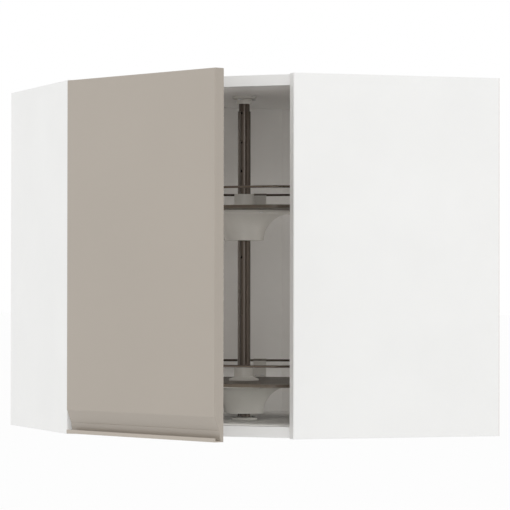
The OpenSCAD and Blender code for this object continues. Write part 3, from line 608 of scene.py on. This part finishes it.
# moulded and turned pieces: rounded rims, smooth between the facets
mouldEase = {"round": 0.0007, "steps": 3, "shortest": 0.0}
hubEase = {"round": 0.0008, "steps": 3, "shortest": 0.0, "beyond": 0.030}
clipEase = {"round": 0.0004, "steps": 2, "shortest": 0.012}
for node in ("upper_collar", "lower_collar", "top_flange", "bottom_flange"):
    eased(node, mouldEase)
for node in ("upper_hub", "lower_hub"):
    eased(node, hubEase, levelBeyond(hubEase["beyond"]))
for node in ("upper_brackets", "lower_brackets"):
    eased(node, clipEase)
print("mouldings eased")

# tubes are rounded at their ends, and wires only smoothed
tubeEase = {"round": 0.0003, "steps": 2, "shortest": 0.0, "reach": 0.001}
for node in ("pole_outer", "pole_inner"):
    eased(node, tubeEase, levelAtEnds(node, tubeEase["reach"]))
for node in ("upper_rail", "lower_rail"):
    eased(node, tubeEase, noEdge)
print("pole and rails smoothed")

# hinges: stamped edges
stampEase = {"round": 0.0003, "steps": 2, "shortest": 0.004}
for part in ("hinge_arm", "hinge_cup", "hinge_base"):
    for level in ("upper", "lower"):
        eased(part + "_" + level, stampEase)
print("hinges eased")


# stage
stageLook = {
    "floorZ": -0.30,
    "floorSpan": 120.0,
    "floorColour": (0.90, 0.90, 0.90),
    "floorRough": 0.9,
    "floorGlow": 0.85,     # share of the floor that a camera sees as plain white
    "sky": 0.97,
}

def cameraShare(tree):
    # 1 for what the camera sees, also through glass and in a reflection
    path = tree.nodes.new("ShaderNodeLightPath")
    share = calculate(tree, "MAXIMUM", path.outputs["Is Camera Ray"], path.outputs["Is Glossy Ray"])
    return calculate(tree, "MAXIMUM", share, path.outputs["Is Transmission Ray"])


def mixShaders(tree, share, first, second, socket):
    mix = tree.nodes.new("ShaderNodeMixShader")
    tree.links.new(share, mix.inputs["Fac"])
    tree.links.new(first, mix.inputs[1])
    tree.links.new(second, mix.inputs[2])
    tree.links.new(mix.outputs["Shader"], socket)


def makeFloor():
    bm = bmesh.new()
    bmesh.ops.create_grid(bm, x_segments=1, y_segments=1, size=stageLook["floorSpan"] / 2)
    bmesh.ops.translate(bm, verts=bm.verts, vec=(0, 0, stageLook["floorZ"]))
    mesh = bpy.data.meshes.new("floor")
    bm.to_mesh(mesh)
    bm.free()
    floor = bpy.data.objects.new("floor", mesh)
    scene.collection.objects.link(floor)
    material, tree, shader, coords = startMaterial("paleFloor")
    shader.inputs["Base Color"].default_value = (*stageLook["floorColour"], 1)
    shader.inputs["Roughness"].default_value = stageLook["floorRough"]
    glow = tree.nodes.new("ShaderNodeEmission")
    share = calculate(tree, "MULTIPLY", cameraShare(tree), stageLook["floorGlow"])
    surface = tree.nodes["Material Output"].inputs["Surface"]
    mixShaders(tree, share, shader.outputs["BSDF"], glow.outputs["Emission"], surface)
    mesh.materials.append(material)


def makeWorld():
    world = bpy.data.worlds.new("studio")
    scene.world = world
    world.use_nodes = True
    tree = world.node_tree
    light = tree.nodes["Background"]
    light.inputs["Strength"].default_value = stageLook["sky"]
    seen = tree.nodes.new("ShaderNodeBackground")
    for background in (light, seen):
        background.inputs["Color"].default_value = (*white, 1)
    surface = tree.nodes["World Output"].inputs["Surface"]
    mixShaders(tree, cameraShare(tree), light.outputs["Background"], seen.outputs["Background"], surface)


# lamps: place and aim in metres, size of the lit square, and power in watts
warm = (1, 0.93, 0.875)
plain = (1, 0.98, 0.94)
lamps = {
    "rightLamp": {"place": (3.9, -3.0, 1.5), "aim": (0, 0, 0.3), "size": (2.2, 2.2), "power": 8.5},
    "leftLamp": {"place": (-3.0, -2.6, 1.8), "aim": (0, 0, 0.3), "size": (2.6, 2.6), "power": 4.2},
    "nearLamp": {"place": (2.2, -4.7, 0.7), "aim": (0, 0, 0.3), "size": (1.0, 1.0), "power": 10.9},
}
# soft fills for the inside of the cabinet, which no camera sees
fills = {
    "doorwayFill": {"place": (0, -0.229, 0.310), "aim": (0, 0.5, 0.310), "size": (0.38, 0.50), "power": 0.20,
                    "colour": warm},
    "rightFill": {"place": (0.30, 0.03, 0.30), "aim": (-0.1, 0.23, 0.30), "size": (0.16, 0.50), "power": 0.22,
                  "colour": warm},
    "leftFill": {"place": (-0.30, 0.03, 0.30), "aim": (0.1, 0.10, 0.30), "size": (0.16, 0.50), "power": 0.16,
                 "colour": warm},
    "lowFill": {"place": (0.30, 0.03, 0.048), "aim": (-0.1, 0.10, 0.048), "size": (0.16, 0.04), "power": 0.14,
                "colour": plain},
    "lowFrontFill": {"place": (0, -0.229, 0.052), "aim": (0, 0.5, 0.052), "size": (0.38, 0.03), "power": 0.09,
                     "colour": plain},
}

def makeLamp(name, look):
    lamp = bpy.data.objects.new(name, bpy.data.lights.new(name, "AREA"))
    lamp.data.shape = "RECTANGLE"
    lamp.data.size, lamp.data.size_y = look["size"]
    lamp.data.energy = look["power"]
    lamp.data.color = look.get("colour", white)
    lamp.location = look["place"]
    lamp.rotation_euler = (Vector(look["aim"]) - lamp.location).to_track_quat("-Z", "Y").to_euler()
    lamp.visible_camera = False
    scene.collection.objects.link(lamp)


makeFloor()
makeWorld()
for name, look in (lamps | fills).items():
    makeLamp(name, look)
print("stage set")
